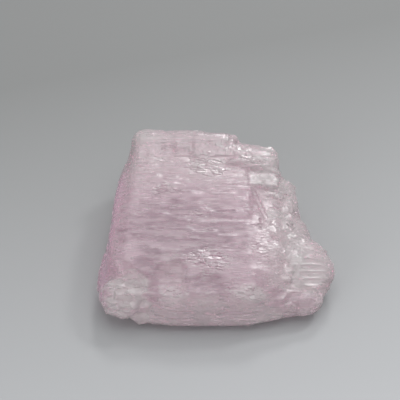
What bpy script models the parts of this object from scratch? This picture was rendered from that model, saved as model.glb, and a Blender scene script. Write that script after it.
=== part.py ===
"""A rough kunzite crystal, lying on its flat underside.

Kunzite splits along its length into splinters, and its faces carry fine lines in that
same direction, which is X here.  The chunk starts as a convex core with flat faces.
Blocks, ledges and bars that follow the grain are joined to it, shell-shaped chips and
notches are cut from it, and the underside is cut off flat.  The result is one solid.

Metres, +Z up.  The origin is under the middle of the crystal, at the level it rests on.
X runs along the grain, Y across it and away from the front, Z up.
"""

import random

import bmesh
import bpy
from mathutils import Vector
from mathutils.bvhtree import BVHTree

MM = 0.001

# Driving dimensions, in millimetres
LEFT_TIP = -18.2
FRONT_EDGE = -14.9
BACK_EDGE = 15.3
TOP_LEVEL = 12.5
MIDDLE_LEVEL = 11.2
RIDGE_LEVEL = 9.9
FRONT_LEVEL = 7.6
BELOW_REST = -1.5

# How deep bars and flakes are sunk, and how their sides lean
BAR_SUNK = 0.9
BAR_LEAN = 0.12
FLAKE_FOOT = 1.15
END_BAR_TILT = 0.12
END_BAR_LEVELS = (2.2, 9.6)

# A place outside every face, where the rays that look for the surface start
OUTSIDE = 40.0

SEED = 12


def clear_scene():
    for item in list(bpy.data.objects):
        bpy.data.objects.remove(item, do_unlink=True)


def crystal_material():
    material = bpy.data.materials.new("pale_pink_crystal")
    material.use_nodes = True
    surface = material.node_tree.nodes["Principled BSDF"]
    surface.inputs["Base Color"].default_value = (0.72, 0.55, 0.64, 1.0)
    surface.inputs["Roughness"].default_value = 0.3
    surface.inputs["Metallic"].default_value = 0.0
    surface.inputs["IOR"].default_value = 1.66
    surface.inputs["Transmission Weight"].default_value = 0.7
    return material


def new_object(name, shape, collection):
    """Turns a bmesh in metres into an object of the given collection."""
    bmesh.ops.recalc_face_normals(shape, faces=shape.faces)
    mesh = bpy.data.meshes.new(name)
    shape.to_mesh(mesh)
    shape.free()
    item = bpy.data.objects.new(name, mesh)
    collection.objects.link(item)
    return item


def hull(name, points, collection):
    """The closed convex body around points given in millimetres."""
    shape = bmesh.new()
    for point in points:
        shape.verts.new(Vector(point) * MM)
    bmesh.ops.convex_hull(shape, input=shape.verts)
    inner = [vert for vert in shape.verts if not vert.link_faces]
    bmesh.ops.delete(shape, geom=inner, context="VERTS")
    return new_object(name, shape, collection)


def helper_collection(name):
    collection = bpy.data.collections.new(name)
    bpy.context.scene.collection.children.link(collection)
    return collection


def hide_helpers(collection):
    for item in collection.objects:
        item.hide_render = True
        item.display_type = "WIRE"


def make_core():
    """The main chunk: a wedge, thicker at the back, with a sloping left side."""
    top = [
        (-12.6, 13.8, TOP_LEVEL - 0.7),
        (0.5, 14.0, TOP_LEVEL - 0.6),
        (4.2, 12.0, TOP_LEVEL - 1.0),
        (5.0, 4.0, MIDDLE_LEVEL - 0.3),
        (6.4, -3.0, MIDDLE_LEVEL - 1.1),
        (7.0, -9.6, RIDGE_LEVEL - 1.2),
        (-14.2, -8.4, RIDGE_LEVEL),
        (-13.8, 3.0, MIDDLE_LEVEL),
    ]
    front = [
        (-14.8, -11.4, FRONT_LEVEL - 0.6),
        (-6.0, -13.2, FRONT_LEVEL),
        (5.0, -12.9, FRONT_LEVEL),
        (9.5, -11.4, FRONT_LEVEL - 1.2),
    ]
    brow = [
        (-14.6, -13.3, 4.6),
        (-6.0, FRONT_EDGE + 0.3, 4.8),
        (5.2, FRONT_EDGE + 0.4, 4.8),
        (11.6, -12.9, 4.2),
    ]
    waist = [
        (-11.6, BACK_EDGE, 8.4),
        (-13.7, 13.6, 8.2),
        (-15.0, 10.0, 7.0),
        (-16.0, 3.5, 5.6),
        (-17.2, -3.5, 4.6),
        (LEFT_TIP, -8.8, 4.0),
        (-17.0, -12.4, 2.6),
        (-13.2, FRONT_EDGE + 0.7, 1.8),
        (-6.2, FRONT_EDGE, 1.6),
        (5.3, FRONT_EDGE + 0.1, 1.6),
        (13.0, -12.9, 2.2),
        (14.9, -7.0, 4.2),
        (14.4, -1.5, 5.4),
        (13.1, 3.5, 5.8),
        (11.8, 7.4, 6.6),
        (9.9, 11.6, 7.8),
        (4.4, BACK_EDGE - 1.0, 8.4),
    ]
    underside = [
        (-10.6, 12.4, BELOW_REST),
        (-12.6, 10.6, BELOW_REST),
        (-14.0, 3.0, BELOW_REST),
        (-15.4, -7.6, BELOW_REST),
        (-13.8, -11.6, BELOW_REST),
        (-6.0, -13.4, BELOW_REST),
        (6.0, -13.2, BELOW_REST),
        (12.0, -11.4, BELOW_REST),
        (13.2, -5.6, BELOW_REST),
        (12.2, 4.0, BELOW_REST),
        (9.6, 10.0, BELOW_REST),
        (3.0, 12.6, BELOW_REST),
    ]
    corners = top + front + brow + waist + underside
    return hull("kunzite_crystal", corners, bpy.context.scene.collection)


def block(name, outline, drop, spread, collection):
    """A block under a top outline: the outline again, widened by spread, lies drop lower."""
    centre = sum((Vector(point) for point in outline), Vector()) / len(outline)
    foot = []
    for point in outline:
        away = Vector(point) - centre
        foot.append((point[0] + spread * away.x, point[1] + spread * away.y, point[2] - drop))
    return hull(name, list(outline) + foot, collection)


def add_back_blocks(joined):
    """The raised corner at the back left and the broken blocks along the back edge."""
    corner = [
        (-13.0, 14.2, TOP_LEVEL - 0.2),
        (-12.5, 15.0, TOP_LEVEL - 0.1),
        (-10.4, 15.2, TOP_LEVEL),
        (-8.2, 14.9, TOP_LEVEL),
        (-7.6, 12.2, TOP_LEVEL - 0.1),
        (-10.0, 10.9, TOP_LEVEL - 0.3),
        (-12.7, 11.4, TOP_LEVEL - 0.4),
    ]
    block("back_left_corner", corner, 6.0, 0.04, joined)
    middle = [
        (-8.6, 14.9, TOP_LEVEL - 0.1),
        (-3.0, 15.0, TOP_LEVEL + 0.3),
        (-1.8, 14.6, TOP_LEVEL + 0.3),
        (-2.2, 12.0, TOP_LEVEL + 0.1),
        (-8.0, 11.6, TOP_LEVEL - 0.3),
    ]
    block("back_middle", middle, 6.0, 0.05, joined)
    right = [
        (-2.4, 14.5, TOP_LEVEL + 0.2),
        (0.4, 14.3, TOP_LEVEL + 0.1),
        (2.6, 13.8, TOP_LEVEL - 0.3),
        (3.4, 12.6, TOP_LEVEL - 0.4),
        (2.0, 10.6, TOP_LEVEL - 0.3),
        (-2.0, 10.4, TOP_LEVEL),
    ]
    block("back_right", right, 6.0, 0.05, joined)


def add_upper_right_blocks(joined):
    """The squared block at the upper right and the bright faced block in front of it."""
    squared = [
        (3.7, 13.2, TOP_LEVEL - 0.2),
        (6.6, 13.0, TOP_LEVEL - 0.2),
        (9.3, 12.5, TOP_LEVEL - 0.5),
        (10.3, 11.2, TOP_LEVEL - 0.9),
        (10.3, 8.9, TOP_LEVEL - 1.2),
        (7.5, 8.3, TOP_LEVEL - 1.1),
        (4.6, 8.2, TOP_LEVEL - 0.9),
        (3.0, 9.6, TOP_LEVEL - 0.5),
    ]
    block("upper_right_block", squared, 7.0, 0.06, joined)
    shelf = [
        (5.2, 8.6, 10.9),
        (10.0, 8.8, 10.7),
        (9.9, 7.9, 10.6),
        (5.2, 7.8, 10.8),
        (9.8, 6.5, 9.0),
        (5.3, 6.2, 9.2),
        (9.6, 6.9, 8.6),
        (5.4, 6.6, 8.8),
    ]
    foot = [
        (5.4, 9.0, 6.0),
        (9.8, 9.2, 6.0),
        (9.4, 7.4, 6.0),
        (5.6, 7.2, 6.0),
    ]
    hull("bright_faced_block", shelf + foot, joined)


def add_right_slope_blocks(joined):
    """The broken steps that lead down the right side."""
    bump = [
        (9.8, 7.9, 8.6),
        (11.6, 7.3, 8.0),
        (12.6, 6.5, 7.0),
        (12.6, 4.8, 6.8),
        (10.9, 4.2, 7.8),
    ]
    block("right_bump", bump, 5.0, 0.05, joined)
    upper_step = [
        (5.2, 6.0, 10.0),
        (9.6, 5.8, 9.0),
        (13.0, 3.4, 7.1),
        (12.8, 1.0, 6.9),
        (9.6, 0.2, 8.4),
        (6.2, 0.6, 9.9),
    ]
    block("upper_step", upper_step, 4.0, 0.05, joined)
    middle_step = [
        (8.6, 0.4, 8.9),
        (11.6, 0.6, 7.3),
        (14.4, -0.2, 6.0),
        (14.9, -2.6, 5.8),
        (11.2, -3.4, 7.2),
        (8.6, -2.8, 8.6),
    ]
    block("middle_step", middle_step, 4.0, 0.04, joined)
    lower_step = [
        (8.0, -3.4, 9.0),
        (11.4, -3.2, 7.5),
        (15.2, -3.0, 6.0),
        (15.0, -5.6, 5.9),
        (10.8, -6.8, 7.5),
        (8.0, -6.4, 8.7),
    ]
    block("lower_step", lower_step, 4.0, 0.04, joined)


def lump(name, middle, half_sizes, facets, collection):
    """A rounded lump: an icosphere stretched to its half sizes, with flat facets cut off it.

    Each facet is a direction and a share of the lump's reach that way.
    """
    shape = bmesh.new()
    bmesh.ops.create_icosphere(shape, subdivisions=3, radius=1.0)
    for direction, share in facets:
        normal = Vector(direction).normalized()
        everything = shape.verts[:] + shape.edges[:] + shape.faces[:]
        bmesh.ops.bisect_plane(
            shape,
            geom=everything,
            plane_co=normal * share,
            plane_no=normal,
            clear_outer=True,
        )
        rim = [edge for edge in shape.edges if edge.is_boundary]
        bmesh.ops.holes_fill(shape, edges=rim, sides=0)
    for vert in shape.verts:
        vert.co = Vector(
            (middle[i] + vert.co[i] * half_sizes[i]) * MM for i in range(3)
        )
    return new_object(name, shape, collection)


def add_lobe(joined):
    """The rounded lobe that stands out at the right, with its flat lined face on top."""
    facets = [
        ((0.25, 0.05, 1.0), 0.74),
        ((-0.1, 0.9, 0.8), 0.84),
        ((0.9, 0.5, 0.7), 0.90),
        ((0.8, -0.6, 0.8), 0.88),
        ((-0.3, -1.0, 0.5), 0.84),
        ((0.3, -1.0, 0.1), 0.93),
        ((0.9, 0.1, -0.8), 0.78),
    ]
    lump("right_lobe", (14.0, -7.0, 3.7), (4.3, 4.3, 4.5), facets, joined)


def add_lower_blocks(joined):
    """The low tier at the front right, the chunk at the front left, and the patch between."""
    tier = [
        (8.6, -10.4, 6.1),
        (13.0, -10.2, 5.4),
        (15.9, -10.2, 4.4),
        (15.9, -11.8, 3.3),
        (13.8, -13.1, 3.7),
        (10.2, -13.2, 4.1),
        (8.8, -12.6, 4.9),
    ]
    block("low_tier", tier, 2.6, 0.07, joined)
    facets = [
        ((0.2, 0.1, 1.0), 0.84),
        ((-0.6, -0.4, 0.9), 0.90),
        ((0.1, -0.9, 0.8), 0.88),
        ((-0.2, -1.0, -0.1), 0.93),
        ((-1.0, -0.3, 0.1), 0.92),
        ((0.8, -0.8, 0.3), 0.88),
    ]
    lump("front_left_chunk", (-13.7, -11.3, 4.4), (4.3, 3.3, 3.4), facets, joined)
    patch = [
        (3.6, -12.4, 8.2),
        (7.4, -12.0, 7.7),
        (7.2, -13.3, 6.4),
        (5.4, -14.1, 5.4),
        (3.8, -13.5, 6.8),
    ]
    block("front_patch", patch, 3.0, 0.05, joined)


def surface_of(items):
    """A tree of all faces of the given objects, to find their outermost surface with rays."""
    points = []
    faces = []
    for item in items:
        first = len(points)
        points += [vert.co.copy() for vert in item.data.vertices]
        faces += [[first + i for i in face.vertices] for face in item.data.polygons]
    return BVHTree.FromPolygons(points, faces)


def bar(name, spot, normal, size, lift, chance, collection):
    """A bar along the grain, sunk into the surface at spot and up to lift proud of it.

    It stands out at one long side and one end and fades into the surface at the others,
    as a splinter does where its neighbour broke away.  Its ends are slanted.
    """
    length, width = size
    along = Vector((1, 0, 0))
    across = normal.cross(along).normalized()
    up = along.cross(across)
    high_side = chance.choice((-1, -1, 1))
    high_end = chance.choice((-1, 1))
    low_share = chance.uniform(-0.4, 0.5)
    end_share = chance.uniform(0.1, 0.9)
    slant = chance.uniform(-1.1, 1.1) * width
    corners = []
    for end in (-1, 1):
        for side in (-1, 1):
            share = 1.0 if side == high_side else low_share
            share *= 1.0 if end == high_end else end_share
            x = end * length / 2 + slant * side / 2
            y = side * width / 2
            top = chance.uniform(0.85, 1.0) * lift * share
            inset = 1.0 - BAR_LEAN
            corners.append(spot / MM + along * x + across * y - up * BAR_SUNK)
            corners.append(spot / MM + along * x * inset + across * y * inset + up * top)
    return hull(name, corners, collection)


def scatter_bars(name, region, surface, chance, joined):
    """Rows of bars along X over one region, each laid where a ray meets the surface.

    The rays go down over the top, and inward over the front and the back.
    """
    ray = Vector(region["ray"])
    place = region["from"]
    made = 0
    while place < region["to"]:
        width = chance.uniform(*region["width"])
        x = region["x"][0] + chance.uniform(0.0, region["length"][0])
        while x < region["x"][1]:
            length = chance.uniform(*region["length"])
            middle = Vector((x + length / 2, 0.0, 0.0))
            if ray.z:
                middle.y = place + width / 2
            else:
                middle.z = place + width / 2
            start = (middle - ray * OUTSIDE) * MM
            spot, normal, _, _ = surface.ray_cast(start, ray)
            kept = chance.random() < region["share"]
            if spot is not None and kept and x + length < region["x"][1] + 1.5:
                lift = chance.uniform(*region["lift"])
                bar(f"{name}_{made}", spot, normal, (length, width), lift, chance, joined)
                made += 1
            x += length * chance.uniform(0.8, 1.3)
        place += width * chance.uniform(0.75, 1.1)


DOWN = (0, 0, -1)
INTO_FRONT = (0, 1, 0)
INTO_BACK = (0, -1, 0)

REGIONS = {
    "back_band": {
        "ray": DOWN, "from": 8.8, "to": 14.0, "x": (-12.6, 9.4), "share": 0.85,
        "width": (0.6, 1.3), "length": (2.0, 6.5), "lift": (0.1, 0.45),
    },
    "second_band": {
        "ray": DOWN, "from": 4.8, "to": 8.8, "x": (-13.4, 4.8), "share": 0.85,
        "width": (0.6, 1.2), "length": (3.0, 9.0), "lift": (0.12, 0.4),
    },
    "middle_band": {
        "ray": DOWN, "from": -7.4, "to": 4.8, "x": (-14.0, 6.8), "share": 0.75,
        "width": (0.6, 1.6), "length": (3.5, 13.0), "lift": (0.06, 0.24),
    },
    "front_band": {
        "ray": DOWN, "from": -12.8, "to": -7.4, "x": (-14.4, 7.4), "share": 0.6,
        "width": (0.6, 1.3), "length": (2.0, 6.0), "lift": (0.08, 0.28),
    },
    "right_slope": {
        "ray": DOWN, "from": -3.6, "to": 7.4, "x": (6.4, 13.4), "share": 0.7,
        "width": (0.6, 1.5), "length": (1.8, 4.5), "lift": (0.05, 0.26),
    },
    "lower_right": {
        "ray": DOWN, "from": -10.4, "to": -3.6, "x": (6.8, 12.6), "share": 0.6,
        "width": (0.6, 1.4), "length": (1.8, 4.8), "lift": (0.05, 0.26),
    },
    "lobe_lines": {
        "ray": DOWN, "from": -8.6, "to": -4.6, "x": (11.6, 17.4), "share": 0.6,
        "width": (0.5, 0.9), "length": (2.0, 4.0), "lift": (0.05, 0.25),
    },
    "front_face": {
        "ray": INTO_FRONT, "from": 1.9, "to": 7.2, "x": (-14.6, 12.0), "share": 0.7,
        "width": (0.6, 1.2), "length": (2.5, 9.0), "lift": (0.08, 0.3),
    },
    "back_face": {
        "ray": INTO_BACK, "from": 1.9, "to": 11.4, "x": (-12.8, 9.0), "share": 0.8,
        "width": (0.7, 1.7), "length": (3.0, 11.0), "lift": (0.2, 0.7),
    },
}


def add_bars(core, joined):
    chance = random.Random(SEED)
    surface = surface_of([core] + list(joined.objects))
    for name, region in REGIONS.items():
        scatter_bars(name, region, surface, chance, joined)


def add_end_bars(core, joined):
    """Splinters whose broken ends stand out of the left side and the right side."""
    chance = random.Random(SEED + 1)
    surface = surface_of([core] + list(joined.objects))
    sides = (
        ("left_end", 1.0, (-8.0, 13.0), 20, (-0.3, 0.05)),
        ("right_end", -1.0, (-3.0, 11.0), 18, (-0.2, 0.1)),
    )
    for name, inward, reach, count, lift in sides:
        for number in range(count):
            y = chance.uniform(*reach)
            z = chance.uniform(*END_BAR_LEVELS)
            start = Vector((-OUTSIDE * inward, y, z)) * MM
            spot, _, _, _ = surface.ray_cast(start, Vector((inward, 0, 0)))
            if spot is None:
                continue
            out = chance.uniform(*lift)
            size = (chance.uniform(3.0, 5.0), chance.uniform(1.0, 2.6))
            centre = spot + Vector((inward * (size[0] / 2 - out) * MM, 0, 0))
            tilt = Vector((0, chance.uniform(-END_BAR_TILT, END_BAR_TILT), 1)).normalized()
            bar(f"{name}_{number}", centre, tilt, size, chance.uniform(0.3, 0.9), chance, joined)


def flake(name, spot, normal, size, lift, chance, collection):
    """A thin flat flake on a steep side: wide along the side, tall up it, lift proud of it."""
    wide, tall = size
    level = Vector((0, 0, 1)).cross(normal).normalized()
    upward = normal.cross(level)
    corners = []
    for side, end in ((-1, -1), (1, -1), (1, 1), (-1, 1)):
        x = side * wide / 2 * chance.uniform(0.6, 1.0)
        y = end * tall / 2 * chance.uniform(0.6, 1.0)
        top = lift * chance.uniform(0.35, 1.0)
        foot = (level * x + upward * y) * FLAKE_FOOT
        corners.append(spot / MM + foot - normal * BAR_SUNK)
        corners.append(spot / MM + level * x + upward * y + normal * top)
    return hull(name, corners, collection)


def add_flakes(core, joined):
    """Flakes in rows up the left side and the right side, where the crystal broke across."""
    chance = random.Random(SEED + 4)
    surface = surface_of([core] + list(joined.objects))
    sides = (
        ("left_flake", 1.0, (-10.5, 12.5), (2.4, 9.6), (0.1, 0.3)),
        ("right_flake", -1.0, (-2.5, 10.5), (2.2, 6.0), (0.05, 0.25)),
    )
    for name, inward, reach, levels, lift in sides:
        y = reach[0]
        made = 0
        while y < reach[1]:
            wide = chance.uniform(3.0, 6.5)
            z = levels[0] + chance.uniform(0.0, 1.5)
            while z < levels[1]:
                tall = chance.uniform(1.6, 3.4)
                start = Vector((-OUTSIDE * inward, y + wide / 2, z)) * MM
                spot, normal, _, _ = surface.ray_cast(start, Vector((inward, 0, 0)))
                if spot is not None:
                    out = chance.uniform(*lift)
                    flake(f"{name}_{made}", spot, normal, (wide, tall), out, chance, joined)
                    made += 1
                z += tall * chance.uniform(0.9, 1.5)
            y += wide * chance.uniform(0.7, 1.0)


def scoop(name, spot, normal, reach, depth, cut):
    """A ball that cuts a round shell-shaped hollow, reach wide and depth deep, at spot.

    A ball of radius (reach^2 + depth^2) / (2 depth) sinks depth into the surface.
    """
    radius = (reach**2 + depth**2) / (2 * depth)
    shape = bmesh.new()
    bmesh.ops.create_uvsphere(shape, u_segments=36, v_segments=24, radius=radius * MM)
    centre = Vector(spot) + Vector(normal).normalized() * (radius - depth)
    bmesh.ops.translate(shape, verts=shape.verts, vec=centre * MM)
    return new_object(name, shape, cut)


FRONT_SLOPE = (0.0, -0.4, 0.92)

SCOOPS = {
    "shell_chip": ((-6.8, -11.4, 8.5), FRONT_SLOPE, 3.0, 0.75),
    "inner_shell_chip": ((-6.0, -10.0, 9.1), FRONT_SLOPE, 2.0, 0.55),
    "front_window": ((-0.9, -11.6, 8.4), FRONT_SLOPE, 2.8, 0.45),
    "left_window": ((-10.6, -9.4, 9.5), (-0.05, -0.3, 0.95), 2.4, 0.28),
    "right_hollow": ((8.4, 2.4, 9.4), (0.45, -0.1, 0.89), 2.0, 0.5),
    "back_chip": ((-3.0, 15.2, 7.4), (0.0, 1.0, 0.1), 4.6, 1.0),
    "right_back_chip": ((11.6, 8.8, 4.6), (0.7, 0.7, 0.0), 3.2, 0.8),
    "left_chip": ((-16.0, 5.0, 4.6), (-0.95, 0.1, 0.2), 3.0, 0.5),
    "front_chip": ((9.0, -13.9, 4.2), (0.2, -0.97, 0.2), 2.2, 0.6),
}


def wedge_cut(name, start, end, width, depth, cut):
    """A V-shaped groove from start to end, open upwards."""
    start = Vector(start)
    end = Vector(end)
    across = (end - start).cross(Vector((0, 0, 1))).normalized() * width / 2
    above = Vector((0, 0, 1.5))
    corners = []
    for point in (start, end):
        corners.append(point - Vector((0, 0, depth)))
        corners.append(point + across * 2 + above)
        corners.append(point - across * 2 + above)
    return hull(name, corners, cut)


def add_cuts(cut):
    """Shell-shaped chips, the groove and the notches, and the flat underside."""
    for name, (spot, normal, reach, depth) in SCOOPS.items():
        scoop(name, spot, normal, reach, depth, cut)
    wedge_cut("slanting_groove", (6.2, 4.8, 10.3), (8.5, -0.3, 9.1), 0.7, 0.35, cut)
    wedge_cut("across_step", (-8.4, 10.6, 12.0), (-8.2, 7.6, 11.8), 0.5, 0.4, cut)
    below = [
        (x, y, z)
        for x in (-OUTSIDE, OUTSIDE)
        for y in (-OUTSIDE, OUTSIDE)
        for z in (-OUTSIDE, 0.0)
    ]
    hull("below_rest", below, cut)


def add_boolean(crystal, name, operation, helpers):
    modifier = crystal.modifiers.new(name, "BOOLEAN")
    modifier.operation = operation
    modifier.solver = "EXACT"
    modifier.operand_type = "COLLECTION"
    modifier.collection = helpers


def settle(crystal):
    """Fixes the joined and cut shape, and puts its box's bottom centre on the origin."""
    bpy.context.view_layer.update()
    graph = bpy.context.evaluated_depsgraph_get()
    mesh = bpy.data.meshes.new_from_object(crystal.evaluated_get(graph))
    crystal.modifiers.clear()
    crystal.data = mesh
    lows = [min(vert.co[i] for vert in mesh.vertices) for i in range(3)]
    highs = [max(vert.co[i] for vert in mesh.vertices) for i in range(3)]
    shift = Vector((-(lows[0] + highs[0]) / 2, -(lows[1] + highs[1]) / 2, -lows[2]))
    for vert in mesh.vertices:
        vert.co += shift


def main():
    clear_scene()
    joined = helper_collection("blocks_to_join")
    cut = helper_collection("shapes_to_cut")
    crystal = make_core()
    crystal.data.materials.append(crystal_material())
    add_back_blocks(joined)
    add_upper_right_blocks(joined)
    add_right_slope_blocks(joined)
    add_lobe(joined)
    add_lower_blocks(joined)
    add_bars(crystal, joined)
    add_end_bars(crystal, joined)
    add_flakes(crystal, joined)
    add_cuts(cut)
    add_boolean(crystal, "join_blocks", "UNION", joined)
    add_boolean(crystal, "cut_chips", "DIFFERENCE", cut)
    hide_helpers(joined)
    hide_helpers(cut)
    settle(crystal)


main()
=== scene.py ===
"""Looks of a rough kunzite crystal on a pale grey sheet.

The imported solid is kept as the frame.  One skin stands for it: a fine closed surface that
lies on the solid and carries the crystal's lines, splinter ends and chips.
Metres, +Z up.  X runs along the grain of the crystal.
"""

import math

import bmesh
import bpy
import numpy as np
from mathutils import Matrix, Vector


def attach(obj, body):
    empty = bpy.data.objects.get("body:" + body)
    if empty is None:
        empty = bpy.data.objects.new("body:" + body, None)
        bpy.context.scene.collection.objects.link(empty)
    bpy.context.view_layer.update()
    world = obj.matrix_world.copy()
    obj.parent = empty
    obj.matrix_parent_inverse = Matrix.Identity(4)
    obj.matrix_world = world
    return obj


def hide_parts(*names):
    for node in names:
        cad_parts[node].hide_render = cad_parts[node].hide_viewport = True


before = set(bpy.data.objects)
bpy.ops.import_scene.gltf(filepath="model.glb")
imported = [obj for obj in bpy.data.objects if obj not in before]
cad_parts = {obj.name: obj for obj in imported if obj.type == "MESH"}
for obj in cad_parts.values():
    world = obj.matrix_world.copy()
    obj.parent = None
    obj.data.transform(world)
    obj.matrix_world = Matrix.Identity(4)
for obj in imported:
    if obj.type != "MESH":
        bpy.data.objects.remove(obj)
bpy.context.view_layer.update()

MM = 0.001

# Camera: the photograph's angle, and how much it takes in at the aim point
VIEW_HEIGHT_ANGLE = math.radians(52.0)
VIEW_DISTANCE = 230.0 * MM
VIEW_WIDTH = 64.4 * MM
VIEW_AIM = (-2.59 * MM, 5.77 * MM, 6.0 * MM)
SENSOR_WIDTH = 36.0

# White lights, all aimed at one point: name, place and size in metres, power in watts
LIGHTS = (
    ("overhead", (0.1, 0.1, 0.9), 0.9, 3.3),
    ("window", (0.08, 0.42, 0.42), 0.11, 0.66),
    ("side", (0.30, 0.28, 0.44), 0.10, 0.65),
    ("fill", (-0.42, -0.42, 0.30), 0.4, 0.8),
)
LIGHT_AIM = (0.0, 0.0, 5.0 * MM)
ROOM_LIGHT = (1.0, 1.0, 1.0, 1.0)
ROOM_STRENGTH = 0.49

# The sheet: its painted light and shade, a falloff of light that is lighter towards the front
# and the right, the places where they are reached, its half width and its level
SHEET_PAINTED_LIGHT = (0.445, 0.455, 0.47, 1.0)
SHEET_PAINTED_SHADE = (0.225, 0.23, 0.23, 1.0)
SHEET_FRONT = -35.0 * MM
SHEET_BACK = 45.0 * MM
SHEET_SLANT = 0.25
SHEET_ROUGHNESS = 0.6
SHEET_HALF = 2.0
SHEET_LEVEL = -0.03 * MM

# Colours of the crystal; the white also paints light in some areas, and the glint colour paints glints
BODY_COLOUR = (0.77, 0.605, 0.68, 1.0)
LILAC_COLOUR = (0.44, 0.30, 0.37, 1.0)
WHITE_COLOUR = (0.99, 0.92, 0.92, 1.0)
PINK_COLOUR = (0.99, 0.68, 0.83, 1.0)
VEIL_COLOUR = (0.90, 0.78, 0.83, 1.0)
PAINTED_GLINT_COLOUR = (1.0, 0.98, 0.98, 1.0)
DEPTH_COLOUR = (0.92, 0.74, 0.83, 1.0)

# Streaks in the colour: length and width in mm, and the limits between which they fade in.
# The last kind are painted glints: white specks that stand in for sparkle.
FINE_LINES = (2.6, 0.16, 0.57, 0.66)
BROAD_VEILS = (5.0, 0.7, 0.42, 0.66)
PAINTED_GLINTS = (0.55, 0.16, 0.50, 0.57)
LINE_STRENGTH = 0.55
VEIL_STRENGTH = 0.30
PAINTED_GLINT_STRENGTH = 0.9
LILAC_LOST_IN_VEILS = 0.35

# Places of a Mix node's share, first and second colour among its inputs, and of its result
MIX_COLOUR_INPUTS = (0, 6, 7)
MIX_COLOUR_OUTPUT = 2

# How the crystal takes light
REFRACTION = 1.66
CLEARNESS = 0.6
MILKINESS = 0.6
MILKY_DEPTH = 5.0 * MM
MILKY_SPREAD = (1.0, 1.0, 1.0)
DEPTH_DENSITY = 100.0
ROUGHNESS = 0.25
VEIL_ROUGHNESS = 0.06
FACET_POLISH = 0.14
BUMP_STRENGTH = 0.1
BUMP_DISTANCE = 0.04 * MM
# Share of the painted glints' pattern in the bump
PAINTED_GLINT_BUMP = 0.5

# Heart: a flat four-sided sheet inside the crystal, from which all the skin's rays start
HEART_LEFT = -12.5 * MM
HEART_RIGHT_FRONT = 11.2 * MM
HEART_RIGHT_BACK = 7.2 * MM
HEART_FRONT = -9.5 * MM
HEART_BACK = 10.2 * MM
HEART_LEVEL = 4.2 * MM
# How long the rays are before they meet the solid, and how close points are merged
CAGE_REACH = 15.0 * MM
MERGE_DISTANCE = 0.0001 * MM

# Steps of the skin's grid along the grain and round it
STEPS_LEFT_END = 34
STEPS_ALONG = 126
STEPS_RIGHT_END = 46
STEPS_TOP = 224
STEPS_BACK = 84
STEPS_UNDER = 32
STEPS_FRONT = 120

# Bell-shaped averages of the rays' lengths: widths in steps round the grain and along it,
# and how many widths they reach
FINE_AVERAGE = (2.2, 1.6)
BROKEN_AVERAGE = (3.6, 2.6)
ROUND_AVERAGE = (8.0, 5.0)
EDGE_AVERAGE = (6.0, 12.0)
LAST_AVERAGE = (0.8, 0.6)
AVERAGE_REACH = 3

# The most by which an average may move a point
FINE_SOFTENING = 0.16 * MM
BROKEN_SOFTENING = 0.5 * MM
ROUND_SOFTENING = 2.2 * MM

# Steps over which the averages fade out at the grid's ends, and the broken ends' set in
END_FADE = 6
BROKEN_STEPS_LEFT = 14
BROKEN_STEPS_RIGHT = 26

# Patches of the surface seen from above: middle x and y, half length and half width, in mm
PATCHES = {
    "left_window": (-10.6, -9.4, 2.5, 2.6),
    "front_window": (-1.0, -12.3, 3.6, 2.0),
    "shell_arcs": (-6.9, -11.0, 2.6, 3.2),
    "front_patch": (5.2, -13.2, 2.4, 1.4),
    "lobe": (13.9, -8.9, 2.7, 2.4),
    "lobe_rim": (15.2, -7.8, 4.6, 6.4),
    "spur": (13.0, 6.0, 2.2, 4.0),
    "upper_band": (-1.6, 10.2, 3.0, 1.4),
    "tier": (12.4, -13.0, 3.8, 1.8),
    "lilac_middle": (-4.6, -2.8, 10.4, 6.0),
    "white_spot": (9.3, 1.0, 1.5, 1.3),
}
CORNER_CHUNK = (-13.8, -13.2, 4.2, 3.2)
RIGHT_EDGE = (7.4, -4.0, 3.0, 11.0)
# How far from a patch's middle it starts to fade and has faded, in its half sizes
PATCH_EDGE = (0.6, 1.2)

# Patches of small broken facets: the same four sizes in mm, and how strongly it is broken
GLINTS = (
    (-1.8, 8.8, 3.4, 2.4, 1.0),
    (2.2, 11.6, 2.4, 1.4, 0.8),
    (4.5, 10.3, 1.3, 2.0, 0.8),
    (7.6, 9.3, 2.8, 0.8, 1.0),
    (-8.3, 4.0, 1.8, 1.3, 0.7),
    (-2.2, -0.6, 1.9, 0.7, 0.3),
    (-1.2, -8.6, 3.4, 2.3, 0.7),
    (-13.8, -11.4, 2.6, 1.6, 0.7),
    (-12.6, -14.4, 2.8, 1.4, 0.6),
    (-6.8, -13.6, 2.8, 1.3, 0.8),
    (-1.6, -14.6, 2.4, 1.2, 0.7),
    (4.6, -13.4, 3.0, 1.3, 1.0),
    (-9.4, 9.6, 2.0, 0.7, 0.5),
    (11.3, 1.2, 1.1, 0.5, 1.0),
    (8.3, -1.8, 1.7, 1.9, 0.7),
    (11.6, -1.4, 1.9, 3.2, 0.6),
    (12.2, -5.2, 2.8, 2.2, 1.0),
    (14.2, -8.4, 2.6, 2.2, 0.4),
    (7.8, -5.8, 2.4, 1.6, 0.5),
    (7.9, 6.4, 2.0, 1.1, 0.9),
)

# Where the whitish areas fade in or out, as places along X or Y in mm. The front's paleness is
# painted light: it makes the front face look as lit as the top.
WHITE_BACK = (2.0, 9.5)
WHITE_RIGHT = (4.0, 11.5)
PAINTED_LIGHT_FRONT = (-15.0, -13.0)
CAP_BACK = (11.0, 13.5)
CAP_RIGHT = (-12.0, -8.0)

# The pink left side, in mm: its slant, how far to the left it fades in, and where it fades
# out to the back
PINK_SLANT = 0.14
PINK_LEFT = (14.6, 16.2)
PINK_BACK = (5.0, 11.0)

# How much each area adds to a share
CLEAR_WEIGHTS = {"left_window": 1.0, "front_window": 1.0}
LILAC_WEIGHTS = {"lilac_middle": 0.8, "left_window": 0.7, "front_window": 0.7, "tier": 0.3}
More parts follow.
